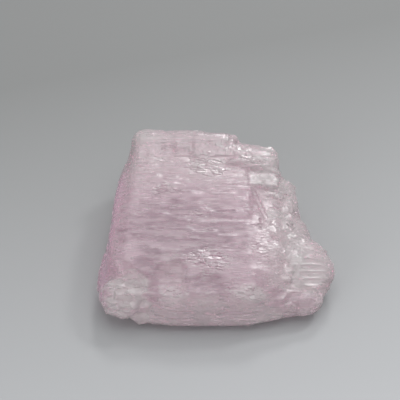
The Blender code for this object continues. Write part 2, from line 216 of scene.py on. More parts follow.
# The white share: mostly the crystal's own whitish tone. Painted light in it: the front is painted
# paler to look as lit as the top, the corner's chunk is whitish and painted paler still for the same
# reason, the plate carries a painted highlight, and the lobe painted highlights along its ridges.
WHITE_AND_PAINTED_LIGHT_WEIGHTS = {
    "back": 0.5,
    "right": 0.75,
    "front": 0.8,
    "cap": 0.4,
    "plate": 0.4,
    "rough": 0.1,
    "front_patch": 0.5,
    "white_spot": 0.4,
    "shell_arcs": 0.3,
    "corner_chunk": 1.2,
    "lobe_painted_ridge_highlights": 1.0,
    "tier": -0.5,
}
ROUND_WEIGHTS = {"lobe_rim": 1.0, "spur": 1.0, "upper_band": 0.8, "shell_arcs": 0.6}

# Soft noises, layer by layer: height, cell sizes along X, Y and Z in mm, and a seed.
# RAGGED is in a patch's half sizes and GATHERING a plain value; the others are in mm.
RAGGED = ((0.35, (1.6, 0.7, 0.7), 61), (0.2, (0.7, 0.35, 0.35), 62))
DRIFT = ((0.9, (3.0, 1.6, 1.6), 60),)
GATHERING = ((1.0, (4.5, 1.1, 1.1), 44),)
GRAIN_LINES = ((0.008, (1.8, 0.2, 0.2), 40), (0.015, (4.0, 0.5, 0.5), 41))
SLOPE_WAVES = ((0.08, (2.2, 1.2, 1.2), 95),)
CHUNK_LUMPS = ((0.40, (1.5, 1.3, 1.3), 90), (0.20, (0.8, 0.6, 0.6), 91))
# How ragged and how drifting the outline of the corner's chunk is
CHUNK_OUTLINE = (0.5, 0.35)
# How much of the drift shows in the edge of the front's painted paleness
FRONT_DRIFT = 0.4

# Splinter steps: width, length and height in mm, and a seed
SPLINTERS = ((0.8, 5.0, 0.034, 10), (0.45, 3.2, 0.025, 20))
# How much their lines wander and their ends slant, in widths, and how much shorter or
# longer they are than the given length: at least, and by how much more
SPLINTER_WANDER = 0.8
SPLINTER_SLANT = 0.5
SPLINTER_STRETCH = (0.6, 0.8)
# Scales: width, length and height in mm, the share of places that have one, and a seed
SCALES = ((0.36, 2.2, 0.06, 0.07, 50), (0.28, 1.2, 0.05, 0.08, 55))
# The way across their strips in Y and Z, the share of the width over which one rises and
# of its length over which an end fades, its stretch, and how far the strips are shifted
SCALE_ACROSS = (0.8, 0.6)
SCALE_RISE = 0.3
SCALE_FADE = 0.15
SCALE_STRETCH = (0.5, 1.0)
SCALE_SHIFT = 7.0
# Between these noise values the grain's relief gathers into bands
GATHERED = (-0.35, 0.45)
# Share of the steps everywhere, more of it in the bands, and more of it towards the back
STEP_SHARES = (0.06, 0.22, 0.30)
STEPPED_BACK = (3.0, 8.0)
# Share of the scales and of the lines outside the bands
SCALES_OUTSIDE = 0.5
LINES_OUTSIDE = 0.4
# How much of the grain's relief is missing in the windows, on the plate and at the left
# side, and how far to the left that side lies
CALM_WINDOWS = 0.8
CALM_PLATE = 0.85
CALM_LEFT = 0.7
LEFT_SIDE = (14.0, 15.5)

# Broken facets: size of a facet and height in mm, and a seed; and how they are drawn out
ROUGH_FACETS = (0.38, 0.17, 70)
SLOPE_FACETS = (0.95, 0.22, 80)
CHUNK_FACETS = (0.9, 0.32, 85)
FACET_SHAPE = (2.6, 1.0, 1.0)
# Tilt of the most level facets, and how much steeper the steepest are
LEVEL_TILT = 0.2
STEEP_TILT = 1.6
# How far the facets lean along X and Y at the front and at the back, between which y that
# changes, and between which x the lean ends
LEAN_FRONT = (0.0, 0.75)
LEAN_BACK = (0.6, 0.45)
LEAN_CHANGE = (2.0, 7.0)
LEAN_END = (5.0, 8.0)
# The lean's share in the corner's chunk, the right slope's lean, and where the slope starts
CHUNK_LEAN = 0.6
SLOPE_LEAN = np.zeros((2, 1))
SLOPE_START = (7.0, 9.5)

# The lobe's level ridges: their spacing in mm up the picture, where they lie and how wide
# they are in spacings, their height in mm, and how white it is between them. Their crests
# are painted white as highlights.
RIDGE_SPACING = 1.06
RIDGE_START = 0.15
RIDGE_WIDTH = 0.17
RIDGE_HEIGHT = 0.14
WHITE_BETWEEN_RIDGES = 0.3

# The ripples of the shell-shaped break: their middle, height in mm and radians per mm
ARC_MIDDLE = (-15.4, -10.6)
ARC_HEIGHT = 0.03
ARC_TURN = 3.6

# The bright plate, in mm: its middle, half length, half width and height, and how much it
# falls for each mm to the right
PLATE = (7.5, 6.6, 2.1, 1.25, 10.45, 0.14)
# Where its edge fades, above which heights it is levelled, and the least rise of its rays
PLATE_EDGE = (-0.1, 0.2)
PLATE_ABOVE = (7.0, 8.5)
LEAST_RISE = 0.3
# Two thin grooves that run on from it, in mm: both ends of the first, the distance between
# them, their width and depth, and over how far they fade at the start and the end
GROOVE = (6.3, 4.3, 8.3, -0.4)
GROOVE_APART = 0.7
GROOVE_WIDTH = 0.16
GROOVE_DEPTH = 0.12
GROOVE_START = 0.3
GROOVE_END = 0.5

# Rounded swells of the silhouette: middle x, y, z and half sizes along x, y, z, in mm
SWELLS = (
    (14.4, -7.0, 4.4, 4.0, 3.5, 3.3),
    (13.2, -11.0, 2.6, 3.1, 2.6, 2.3),
    (11.4, -1.0, 4.2, 3.6, 4.0, 2.8),
    (-11.3, 13.6, 10.9, 2.3, 1.9, 1.5),
)
# The lobe's flat face: a point on it and its outward direction, where it cuts the lobe, and
# how much a ray has to face it
LOBE_FACE = ((14.4, -8.7, 6.45), (0.22, -0.44, 0.87))
LOBE_CUT = (14.4, -9.2, 4.4, 5.0)
LEAST_FACING = 0.05

# Swellings of the top's edges in mm: where they lie, how wide their bells are, where they
# start and end along the edge, and how high they are
LEFT_SHOULDER = {
    "x": -15.3,
    "slant": 0.06,
    "width_x": 1.3,
    "z": 8.4,
    "width_z": 2.2,
    "start": (-11.0, -8.0),
    "end": (5.0, 12.5),
    "height": 1.1,
}
FRONT_SHOULDER = {
    "y": (-14.6, -12.6),
    "z": 6.9,
    "width_z": 1.9,
    "start": (-11.5, -8.0),
    "end": (4.0, 9.0),
    "height": 0.6,
}
BACK_RISE = {"y": (11.5, 13.5), "z": (6.0, 10.0), "end": (1.0, 5.0), "height": 0.5}

# The front rim: how steep its rays are, how far back it goes, and by how much and between
# which heights in mm it swells and is drawn in
FRONT_RIM = {
    "steepness": (-0.93, -0.65),
    "end": (-9.0, -5.0),
    "swell": 0.3,
    "swell_start": (0.3, 1.4),
    "swell_end": (2.5, 6.0),
    "drawn_in": 2.6,
    "drawn_end": (0.2, 1.3),
}
# The relief fades in above the sheet between these heights in mm
RELIEF_START = (0.0, 1.2)

# Large odd numbers that turn a lattice place and a seed into a value, and the pairs of a
# shift and a number that then scramble it
PLACE_MIXERS = (374761393, 668265263, 2147483647)
SEED_MIXER = 1274126177
VALUE_MIXERS = ((13, 1103515245), (16, 2654435761))
LAST_SHIFT = 15
LOW_32_BITS = 0xFFFFFFFF
LOW_24_BITS = 0xFFFFFF


def ramp(values, low, high):
    """0 at low and less, 1 at high and more, and 3s^2 - 2s^3 of the share s between them."""
    share = np.clip((values - low) / (high - low), 0, 1)
    return share * share * (3 - 2 * share)


def between(values, start, end):
    """1 between a start and an end, each given by the two places where its ramp lies."""
    return ramp(values, *start) * (1 - ramp(values, *end))


def bell(values, middle, width):
    """1 at the middle and exp(-s^2) at s widths from it."""
    return np.exp(-(((values - middle) / width) ** 2))


def lattice_value(i, j, k, seed):
    """A fixed pseudo-random value from 0 to 1 for each whole-number place of a lattice."""
    mixed = seed * SEED_MIXER
    for place, mixer in zip((i, j, k), PLACE_MIXERS):
        mixed = mixed + place.astype(np.int64) * mixer
    mixed = mixed & LOW_32_BITS
    for shift, mixer in VALUE_MIXERS:
        mixed = ((mixed ^ (mixed >> shift)) * mixer) & LOW_32_BITS
    return ((mixed ^ (mixed >> LAST_SHIFT)) & LOW_24_BITS) / float(LOW_24_BITS + 1)


def lattice_vector(cell, seed):
    """Three lattice values for each cell, from three seeds in a row."""
    return np.stack([lattice_value(*cell.T, seed + n) for n in range(3)], axis=1)


def soft_noise(points, cell, seed):
    """Smooth noise from -1 to 1: lattice values blended across cells of the given sizes."""
    place = points / np.asarray(cell)
    low = np.floor(place)
    part = place - low
    part = part * part * (3 - 2 * part)
    low = low.astype(np.int64)
    total = np.zeros(len(points))
    for corner in np.ndindex(2, 2, 2):
        weight = np.ones(len(points))
        for axis, step in enumerate(corner):
            weight = weight * (part[:, axis] if step else 1 - part[:, axis])
        total += weight * lattice_value(*(low + np.array(corner)).T, seed)
    return 2 * total - 1


def layered_noise(points, layers):
    """Sum of soft noises, each with its height, its cell sizes in mm and its seed."""
    return sum(
        height * soft_noise(points, [size * MM for size in cell], seed)
        for height, cell, seed in layers
    )


def splinter_steps(points, width, length, seed):
    """Flat steps from -1 to 1 that follow the grain.

    The crystal is taken as a bundle of square splinters along X that stand on edge.  Each
    is cut into lengths at places of its own, and each length has one height.  The lines
    between them wander a little.
    """
    wander = soft_noise(points, (5 * length, 9 * width, 9 * width), seed + 1)
    wander = wander * width * SPLINTER_WANDER
    a = (points[:, 1] + points[:, 2]) * math.sqrt(0.5) + wander
    b = (points[:, 1] - points[:, 2]) * math.sqrt(0.5) + wander
    i = np.floor(a / width)
    j = np.floor(b / width)
    zero = np.zeros(len(points), np.int64)
    shift = lattice_value(i, j, zero, seed + 2)
    least, more = SPLINTER_STRETCH
    stretch = least + more * lattice_value(i, j, zero, seed + 3)
    slant = SPLINTER_SLANT * (a / width - i) * width
    k = np.floor((points[:, 0] + slant) / (length * stretch) + shift)
    return 2 * lattice_value(i, j, k, seed + 4) - 1


def scales(points, width, length, chosen, seed):
    """Sparse narrow scales along the grain, from 0 to 1: a short rise in front, a long fall.

    The surface is ruled into strips across the grain and each strip into lengths.  In the
    chosen share of these the height rises over the front part and falls over the rest.
    """
    wander = soft_noise(points, (3 * length, 6 * width, 6 * width), seed) * width
    across = (SCALE_ACROSS[0] * points[:, 1] + SCALE_ACROSS[1] * points[:, 2] + wander) / width
    i = np.floor(across)
    zero = np.zeros(len(points), np.int64)
    least, more = SCALE_STRETCH
    stretch = least + more * lattice_value(i, zero, zero, seed + 1)
    shift = SCALE_SHIFT * lattice_value(i, zero, zero, seed + 2)
    along = points[:, 0] / (length * stretch) + shift
    k = np.floor(along)
    there = lattice_value(i, k, zero, seed + 3) < chosen
    part = along - k
    ends = between(part, (0.0, SCALE_FADE), (1 - SCALE_FADE, 1.0))
    profile = np.minimum((across - i) / SCALE_RISE, (1 - across + i) / (1 - SCALE_RISE))
    return np.where(there, profile * ends, 0.0)


def chip_facets(points, size, lean, seed):
    """Small broken facets, from about -1 to 1: cells of a jittered lattice, each a tilted plane.

    Height: the cell's random tilt times the offset from the cell's middle, where most
    cells are nearly level and a few are steep, less the common lean along X and Y.  The
    cells are drawn out along the grain.
    """
    place = points / (np.array(FACET_SHAPE) * size)
    low = np.floor(place).astype(np.int64)
    nearest = np.full(len(points), np.inf)
    height = np.zeros(len(points))
    for step in np.ndindex(3, 3, 3):
        cell = low + np.array(step) - 1
        offset = place - cell - lattice_vector(cell, seed)
        steepness = LEVEL_TILT + STEEP_TILT * lattice_value(*cell.T, seed + 6) ** 4
        tilt = (2 * lattice_vector(cell, seed + 3) - 1) * steepness[:, None]
        tilt[:, :2] -= lean.T
        away = (offset**2).sum(axis=1)
        height = np.where(away < nearest, (offset * tilt).sum(axis=1), height)
        nearest = np.minimum(away, nearest)
    return height


def facets(points, kind, lean):
    """Broken facets of one kind, in mm."""
    size, height, seed = kind
    return height * chip_facets(points, size * MM, lean, seed)


def inside_share(points, ragged, spot):
    """1 inside an oval spot and 0 outside: a ragged edge over the distance from its middle."""
    x, y, half_x, half_y = spot[:4]
    away = np.hypot((points[:, 0] / MM - x) / half_x, (points[:, 1] / MM - y) / half_y)
    return 1 - ramp(away + ragged, *PATCH_EDGE)


def plate_share(x, y):
    """1 on the bright plate: a rectangle seen from above, whose edges two sine waves bend."""
    middle_x, middle_y, half_x, half_y = PLATE[:4]
    slow = 0.08 * np.sin(2.3 * x + 1.0) * np.sin(3.1 * y)
    quick = 0.05 * np.sin(6.1 * x + 4.3 * y)
    wander = slow + quick
    inner, outer = PLATE_EDGE
    along = 1 - ramp(np.abs(x - middle_x) + wander, half_x + inner, half_x + outer)
    across = 1 - ramp(np.abs(y - middle_y) + wander, half_y + inner, half_y + outer)
    return along * across


def ridges(y, z):
    """1 on the lobe's level ridges and 0 between them: a bell in each step up the picture.

    A point's place up the picture is sin(view angle) * y + cos(view angle) * z.
    """
    height = math.sin(VIEW_HEIGHT_ANGLE) * y + math.cos(VIEW_HEIGHT_ANGLE) * z
    place = height / RIDGE_SPACING + RIDGE_START
    return bell(place % 1.0, 0.5, RIDGE_WIDTH)


def weighted(share, weights):
    """Sum of the named shares, each times its weight, kept between 0 and 1."""
    return np.clip(sum(weight * share[name] for name, weight in weights.items()), 0, 1)


def areas(points):
    """The crystal's areas as shares from 0 to 1, by name: patches, fading areas and colours."""
    x, y, z = points.T / MM
    ragged = layered_noise(points, RAGGED)
    drift = layered_noise(points, DRIFT)
    share = {name: inside_share(points, ragged, spot) for name, spot in PATCHES.items()}
    chunk_outline = CHUNK_OUTLINE[0] * ragged + CHUNK_OUTLINE[1] * drift
    share["corner_chunk"] = inside_share(points, chunk_outline, CORNER_CHUNK)
    share["rough"] = np.zeros(len(points))
    for spot in GLINTS:
        share["rough"] = np.maximum(share["rough"], spot[4] * inside_share(points, ragged, spot))
    share["back"] = ramp(y + drift, *WHITE_BACK)
    share["right"] = ramp(x + drift, *WHITE_RIGHT)
    # Painted light: the front face is painted paler so that it looks as lit as the top.
    share["front"] = 1 - ramp(y + FRONT_DRIFT * drift, *PAINTED_LIGHT_FRONT)
    share["cap"] = ramp(y, *CAP_BACK) * (1 - ramp(x, *CAP_RIGHT))
    share["plate"] = plate_share(x, y)
    # Painted highlight: the lobe is whitened, most along its ridge crests.
    painted_ridge_highlight = WHITE_BETWEEN_RIDGES + (1 - WHITE_BETWEEN_RIDGES) * ridges(y, z)
    share["lobe_painted_ridge_highlights"] = painted_ridge_highlight * share["lobe"]
    share["clear"] = weighted(share, CLEAR_WEIGHTS)
    share["lilac"] = weighted(share, LILAC_WEIGHTS)
    share["white"] = weighted(share, WHITE_AND_PAINTED_LIGHT_WEIGHTS)
    pink = ramp(-x + PINK_SLANT * y, *PINK_LEFT) * (1 - ramp(y, *PINK_BACK))
    share["pink"] = pink * (1 - share["corner_chunk"])
    return share


def grain_relief(points, share):
    """Splinter steps, scales and lines along the grain, in mm.

    They gather into bands, the steps grow towards the back, and all fade where the
    surface is rough or calm.
    """
    x, y, _ = points.T / MM
    even = (1 - CALM_WINDOWS * share["clear"]) * (1 - CALM_PLATE * share["plate"])
    even = even * (1 - share["rough"]) * (1 - CALM_LEFT * ramp(-x, *LEFT_SIDE))
    gathered = ramp(layered_noise(points, GATHERING), *GATHERED)
    steps = sum(
        height * splinter_steps(points, width * MM, length * MM, seed)
        for width, length, height, seed in SPLINTERS
    )
    scaly = sum(
        height * scales(points, width * MM, length * MM, chosen, seed)
        for width, length, height, chosen, seed in SCALES
    )
    everywhere, in_bands, at_back = STEP_SHARES
    lines = layered_noise(points, GRAIN_LINES)
    total = steps * (everywhere + in_bands * gathered + at_back * ramp(y, *STEPPED_BACK))
    total += scaly * (SCALES_OUTSIDE + (1 - SCALES_OUTSIDE) * gathered)
    total += lines * (LINES_OUTSIDE + (1 - LINES_OUTSIDE) * gathered)
    return total * even


def broken_relief(points, share):
    """Facets of the rough patches, the right slope and the corner's chunk, in mm.

    The facets lean towards the back, and at the back of the top also along the grain.
    """
    x, y, _ = points.T / MM
    change = ramp(y, *LEAN_CHANGE)
    lean = [front + change * (back - front) for front, back in zip(LEAN_FRONT, LEAN_BACK)]
    lean = (1 - ramp(x, *LEAN_END)) * np.stack(lean)
    rough = facets(points, ROUGH_FACETS, lean) * share["rough"]
    slope = layered_noise(points, SLOPE_WAVES) + facets(points, SLOPE_FACETS, SLOPE_LEAN)
    slope = slope * ramp(x, *SLOPE_START) * (1 - share["lobe_rim"]) * (1 - share["plate"])
    chunk = layered_noise(points, CHUNK_LUMPS) + facets(points, CHUNK_FACETS, CHUNK_LEAN * lean)
    return rough + slope + chunk * share["corner_chunk"]


def shell_ripples(x, y):
    """Height in mm of round ripples: the sine of the distance from the arcs' middle."""
    away = np.hypot(x - ARC_MIDDLE[0], y - ARC_MIDDLE[1])
    return ARC_HEIGHT * np.sin(away * ARC_TURN)


def groove_depth(x, y):
    """Depth in mm of two grooves side by side: a bell across each line, faded at its ends."""
    x0, y0, x1, y1 = GROOVE
    run = math.hypot(x1 - x0, y1 - y0)
    along = ((x - x0) * (x1 - x0) + (y - y0) * (y1 - y0)) / run
    across = ((x - x0) * (y1 - y0) - (y - y0) * (x1 - x0)) / run
    depth = bell(across, 0.0, GROOVE_WIDTH) + bell(across, GROOVE_APART, GROOVE_WIDTH)
    start = (-GROOVE_START, GROOVE_START)
    end = (run - GROOVE_END, run + GROOVE_END)
    return GROOVE_DEPTH * depth * between(along, start, end)


def shoulders(x, y, z):
    """Swellings in mm: bells across the top's left and front edges, a rise along its back."""
    edge = LEFT_SHOULDER
    left = bell(x - edge["slant"] * y, edge["x"], edge["width_x"])
    left *= bell(z, edge["z"], edge["width_z"]) * between(y, edge["start"], edge["end"])
    left *= edge["height"]
    edge = FRONT_SHOULDER
    front = bell(z, edge["z"], edge["width_z"]) * (1 - ramp(y, *edge["y"]))
    front *= between(x, edge["start"], edge["end"]) * edge["height"]
    edge = BACK_RISE
    back = ramp(y, *edge["y"]) * ramp(z, *edge["z"]) * (1 - ramp(x, *edge["end"]))
    return left + front + back * edge["height"]


def relief(points):
    """Height of all the fine relief in metres, faded out towards the sheet."""
    x, y, z = points.T / MM
    share = areas(points)
    height = grain_relief(points, share) + broken_relief(points, share)
    height += shell_ripples(x, y) * share["shell_arcs"]
    height += RIDGE_HEIGHT * ridges(y, z) * share["lobe"]
    height += shoulders(x, y, z) - groove_depth(x, y)
    return height * ramp(z, *RELIEF_START) * MM


def front_rim(points, direction):
    """Height in metres that lifts the lower front rim off the sheet and swells it above.

    Where a ray is less steep than those of the underside, the rim is drawn in below
    1.3 mm and pushed out a little above that, up to 6 mm.
    """
    y, z = points[..., 1] / MM, points[..., 2] / MM
    rim = ramp(direction[..., 2], *FRONT_RIM["steepness"]) * (1 - ramp(y, *FRONT_RIM["end"]))
    swell = FRONT_RIM["swell"] * between(z, FRONT_RIM["swell_start"], FRONT_RIM["swell_end"])
    drawn_in = FRONT_RIM["drawn_in"] * (1 - ramp(z, *FRONT_RIM["drawn_end"]))
    return MM * rim * (swell - drawn_in)


def right_limit(y):
    """Where the heart ends at the right: a straight line from its front to its back corner."""
    share = (y - HEART_FRONT) / (HEART_BACK - HEART_FRONT)
    return HEART_RIGHT_FRONT + share * (HEART_RIGHT_BACK - HEART_RIGHT_FRONT)


def round_the_grain():
    """Places and angles round the heart: over the top, down the back, under, up the front.

    Gives y and the angle t of the outward direction (cos t, sin t) in the YZ plane.
    """
    quarter = math.pi / 2
    side = np.linspace(HEART_FRONT, HEART_BACK, STEPS_TOP + 1)
    back = np.arange(STEPS_BACK) / STEPS_BACK
    front = np.arange(STEPS_FRONT) / STEPS_FRONT
    y = np.concatenate([
        side[:-1],
        np.full(STEPS_BACK, side[-1]),
        side[:0:-(STEPS_TOP // STEPS_UNDER)],
        np.full(STEPS_FRONT, side[0]),
    ])
    angle = np.concatenate([
        np.full(STEPS_TOP, quarter),
        quarter - back * math.pi,
        np.full(STEPS_UNDER, -quarter),
        -quarter - front * math.pi,
    ])
    return y, angle


def along_the_grain():
    """Shares along the heart, and the angle by which the outward direction leans to X."""
    quarter = math.pi / 2
    left = np.arange(STEPS_LEFT_END) / STEPS_LEFT_END
    middle = np.arange(STEPS_ALONG) / STEPS_ALONG
    right = np.arange(STEPS_RIGHT_END + 1) / STEPS_RIGHT_END
    share = np.concatenate([np.zeros(STEPS_LEFT_END), middle, np.ones(STEPS_RIGHT_END + 1)])
    lean = np.concatenate([quarter * (left - 1), np.zeros(STEPS_ALONG), quarter * right])
    return share, lean


def cage_rays():
    """Starts and directions of a rounded slab's rays, as two grids of (row, column, 3).

    Start: the heart's point.  Direction: cos a * (0, cos t, sin t) + sin a * (1, 0, 0).
    """
    y, angle = round_the_grain()
    share, lean = along_the_grain()
    y = y[None, :]
    angle = angle[None, :]
    share = share[:, None]
    lean = lean[:, None]
    x = HEART_LEFT + share * (right_limit(y) - HEART_LEFT)
    start = np.stack(np.broadcast_arrays(x, y, HEART_LEVEL), axis=-1)
    across = np.cos(lean)
    direction = np.stack(
        np.broadcast_arrays(np.sin(lean), across * np.cos(angle), across * np.sin(angle)),
        axis=-1,
    )
    return start, direction


def grid_faces(rows, columns):
    """Four-sided faces of a grid that is closed round its columns and open at its two ends."""
    row = np.arange(rows - 1)[:, None]
    column = np.arange(columns)[None, :]
    after = (column + 1) % columns
    a = row * columns + column
    b = row * columns + after
    c = (row + 1) * columns + after
    d = (row + 1) * columns + column
    return np.stack(np.broadcast_arrays(a, d, c, b), axis=-1).reshape(-1, 4)


def slit_faces(rows, columns):
    """Narrow faces that close both ends, where the many top steps meet the few under steps.

    Along an end's seam each under step spans a whole number of top steps.  One face per
    under step runs along those top points, so that its last side is the under step's side.
    """
    per_step = STEPS_TOP // STEPS_UNDER
    first = np.arange(STEPS_UNDER)[:, None] * per_step
    left = first + np.arange(per_step + 1)[None, :]
    right = (rows - 1) * columns + left[:, ::-1]
    return left, right


def mesh_object(name, points, faces):
    """A new object at the origin, from an array of points and a list of faces."""
    mesh = bpy.data.meshes.new(name)
    mesh.from_pydata(points.reshape(-1, 3).tolist(), [], faces)
    mesh.update()
    piece = bpy.data.objects.new(name, mesh)
    bpy.context.scene.collection.objects.link(piece)
    return piece


def close_up(piece):
    """Merges the doubled points, drops faces without area and turns the rest outward."""
    shape = bmesh.new()
    shape.from_mesh(piece.data)
    bmesh.ops.remove_doubles(shape, verts=shape.verts, dist=MERGE_DISTANCE)
    bmesh.ops.dissolve_degenerate(shape, edges=shape.edges, dist=MERGE_DISTANCE)
    bmesh.ops.recalc_face_normals(shape, faces=shape.faces)
    shape.to_mesh(piece.data)
    shape.free()


def points_of(mesh):
    """The mesh's points as an array of (point, 3)."""
    points = np.empty(len(mesh.vertices) * 3, np.float32)
    mesh.vertices.foreach_get("co", points)
    return points.reshape(-1, 3).astype(np.float64)


def points_at(start, direction, length):
    """Points of the grid: start + length * direction."""
    return start + length[..., None] * direction


def shared(values, places):
    """One value, the average, for all rays of the grid that lie in the same place."""
    spots = np.round(places.reshape(-1, 3) / MM, 5)
    _, group = np.unique(spots, axis=0, return_inverse=True)
    group = group.ravel()
    average = np.bincount(group, values.ravel()) / np.bincount(group)
    return average[group].reshape(values.shape)


def reach_of_rays(start, direction, node):
    """Lengths of the rays from the heart to the solid's surface, as a grid.

    A cage at the rays' far ends is slid straight in by a Shrinkwrap until it meets a merged
    copy of the solid.  The length is measured along the ray's direction.
    """
    solid = bpy.data.objects.new("solid_copy", node.data.copy())
    bpy.context.scene.collection.objects.link(solid)
    close_up(solid)
    far_ends = start + CAGE_REACH * direction
    cage = mesh_object("cage", far_ends, grid_faces(*start.shape[:2]).tolist())
    drop = cage.modifiers.new("drop", "SHRINKWRAP")
    drop.target = solid
    drop.wrap_method = "PROJECT"
    drop.use_negative_direction = True
    drop.use_positive_direction = False
    bpy.context.view_layer.update()
    graph = bpy.context.evaluated_depsgraph_get()
    met = points_of(cage.evaluated_get(graph).data).reshape(start.shape)
    bpy.data.objects.remove(cage, do_unlink=True)
    bpy.data.objects.remove(solid, do_unlink=True)
    return shared(((met - start) * direction).sum(axis=-1), start + direction)


def blurred(values, axis, width, wrap):
    """Bell-shaped average along one way of the grid.

    The weights are exp(-s^2 / 2) at s widths, out to a little over AVERAGE_REACH widths.
    """
    span = int(AVERAGE_REACH * width) + 1
    steps = np.arange(-span, span + 1)
    weights = np.exp(-0.5 * (steps / width) ** 2)
    weights /= weights.sum()
    edges = [(0, 0), (0, 0)]
    edges[axis] = (span, span)
    wide = np.pad(values, edges, mode="wrap" if wrap else "edge")
    length = values.shape[axis]
    shifted = [wide.take(np.arange(length) + i, axis=axis) for i in range(2 * span + 1)]
    return np.tensordot(weights, np.stack(shifted), axes=1)


def averaged(length, widths):
    """Bell-shaped average of the rays' lengths, first round the grain and then along it."""
    round_width, along_width = widths
    return blurred(blurred(length, 1, round_width, True), 0, along_width, False)


def away_from_ends(length):
    """0 on the grid's first and last row, whose rays coincide, and 1 some rows further in."""
    row = np.arange(len(length))[:, None]
    return ramp(row, 0, END_FADE) * ramp(len(length) - 1 - row, 0, END_FADE)


def broken_end_share(rows):
    """1 at the crystal's two broken ends and 0 between them, row by row."""
    row = np.arange(rows)[:, None]
    left = ramp(STEPS_LEFT_END - row, 0, BROKEN_STEPS_LEFT)
    right = ramp(row - STEPS_LEFT_END - STEPS_ALONG, -BROKEN_STEPS_RIGHT, 0)
    return np.maximum(left, right)


def smooth_share(points, spot):
    """1 inside an oval spot and 0 outside, with an even edge, on the grid."""
    return inside_share(points.reshape(-1, 3), 0.0, spot).reshape(points.shape[:2])


def softened(start, direction, length):
    """Lengths of the rays with their small steps rounded off.

    Each length moves towards an average of its neighbours, but no further than a limit.
    Both grow at the broken ends and on the round patches, and along the right edge.
    """
    points = points_at(start, direction, length)
    share = areas(points.reshape(-1, 3))
    broken = broken_end_share(len(length))
    rounded = weighted(share, ROUND_WEIGHTS).reshape(length.shape)
    edge = smooth_share(points, RIGHT_EDGE)
    soft = averaged(length, FINE_AVERAGE)
    soft = soft + broken * (averaged(length, BROKEN_AVERAGE) - soft)
    soft = soft + rounded * (averaged(length, ROUND_AVERAGE) - soft)
    soft = soft + edge * (averaged(length, EDGE_AVERAGE) - soft)
    limit = FINE_SOFTENING + broken * (BROKEN_SOFTENING - FINE_SOFTENING)
    limit = limit + np.maximum(rounded, edge) * (ROUND_SOFTENING - limit)
    return length + away_from_ends(length) * np.clip(soft - length, -limit, limit)


def swell_reach(start, direction, swell):
    """Length of each ray to the far side of an ellipsoid, and 0 where the ray passes it by.

    With u = (start - middle) / half sizes and w = direction / half sizes, the far root of
    |u + t w| = 1 is t = (-u.w + sqrt((u.w)^2 - w.w (u.u - 1))) / w.w
    """
    u = (start - np.array(swell[:3]) * MM) / (np.array(swell[3:]) * MM)
    w = direction / (np.array(swell[3:]) * MM)
    across = (u * w).sum(axis=-1)
    square = (w * w).sum(axis=-1)
    inside = across**2 - square * ((u * u).sum(axis=-1) - 1)
    reach = (-across + np.sqrt(np.maximum(inside, 0))) / square
    return np.where(inside > 0, reach, 0)


def plane_reach(start, direction, point, outward):
    """Length of each ray to a plane: n.(point - start) / n.direction, endless if it points away."""
    outward = np.array(outward)
    facing = (direction * outward).sum(axis=-1)
    gap = ((np.array(point) * MM - start) * outward).sum(axis=-1)
    return np.where(facing > LEAST_FACING, gap / np.maximum(facing, LEAST_FACING), np.inf)


def rounded_out(start, direction, length):
    """Lengths raised to the rounded swells, and cut by the flat face within the lobe."""
    for swell in SWELLS:
        length = np.maximum(length, swell_reach(start, direction, swell))
    flat = np.minimum(length, plane_reach(start, direction, *LOBE_FACE))
    lobe = smooth_share(points_at(start, direction, length), LOBE_CUT)
    return length + lobe * (flat - length)


def level_plate(start, direction, length):
    """Lets the rays inside the bright plate's outline end on its nearly level top."""
    x, y, z = np.moveaxis(points_at(start, direction, length), -1, 0) / MM
    middle_x, _, _, _, level, fall = PLATE
    rise = np.maximum(direction[..., 2], LEAST_RISE)
    reach = ((level - fall * (x - middle_x)) * MM - start[..., 2]) / rise
    on_top = ramp(z, *PLATE_ABOVE)
    return length + on_top * plate_share(x, y) * (reach - length)


def crystal_skin(node):
    """The crystal's surface on the grid: start + (length + relief) * direction, closed at the ends."""
    start, direction = cage_rays()
    length = softened(start, direction, reach_of_rays(start, direction, node))
    length = rounded_out(start, direction, length)
    length = level_plate(start, direction, length)
    length = length + away_from_ends(length) * (averaged(length, LAST_AVERAGE) - length)
    points = points_at(start, direction, length)
    height = relief(points.reshape(-1, 3)).reshape(length.shape) + front_rim(points, direction)
    points = points_at(points, direction, height)
    points[..., 2] = np.maximum(points[..., 2], 0)
    faces = grid_faces(*length.shape).tolist()
    for end in slit_faces(*length.shape):
        faces += end.tolist()
    skin = mesh_object("kunzite_crystal_skin", points, faces)
    close_up(skin)
    keep_colour_shares(skin.data)
    return skin


def keep_colour_shares(mesh):
    """Stores the shares that the material reads, as one attribute each."""
    share = areas(points_of(mesh))
    for name in ("lilac", "white", "pink", "rough"):
        layer = mesh.attributes.new(name, "FLOAT", "POINT")
        layer.data.foreach_set("value", share[name].astype(np.float32))


def node_of(tree, kind, **values):
    """A new node with its sockets set by name, where spaces are written as underscores."""
    node = tree.nodes.new(kind)
    for name, value in values.items():
        node.inputs[name.replace("_", " ")].default_value = value
    return node


def feed(tree, socket, value):
    """Links a socket to another one, or sets it to a plain value."""
    if isinstance(value, bpy.types.NodeSocket):
        tree.links.new(value, socket)
    else:
        socket.default_value = value


def blend(tree, share, first, second):
    """A colour mix from first to second by a share; each may be a value or a socket."""
    mix = tree.nodes.new("ShaderNodeMix")
    mix.data_type = "RGBA"
    for index, value in zip(MIX_COLOUR_INPUTS, (share, first, second)):
        feed(tree, mix.inputs[index], value)
    return mix.outputs[MIX_COLOUR_OUTPUT]


def maths(tree, operation, first, second):
    """A sum, product or other simple operation on two values or sockets."""
    step = tree.nodes.new("ShaderNodeMath")
    step.operation = operation
    feed(tree, step.inputs[0], first)
    feed(tree, step.inputs[1], second)
    return step.outputs[0]


def share_of(tree, name):
    """The socket that gives one of the mesh's stored shares."""
    layer = tree.nodes.new("ShaderNodeAttribute")
    layer.attribute_name = name
    return layer.outputs["Fac"]


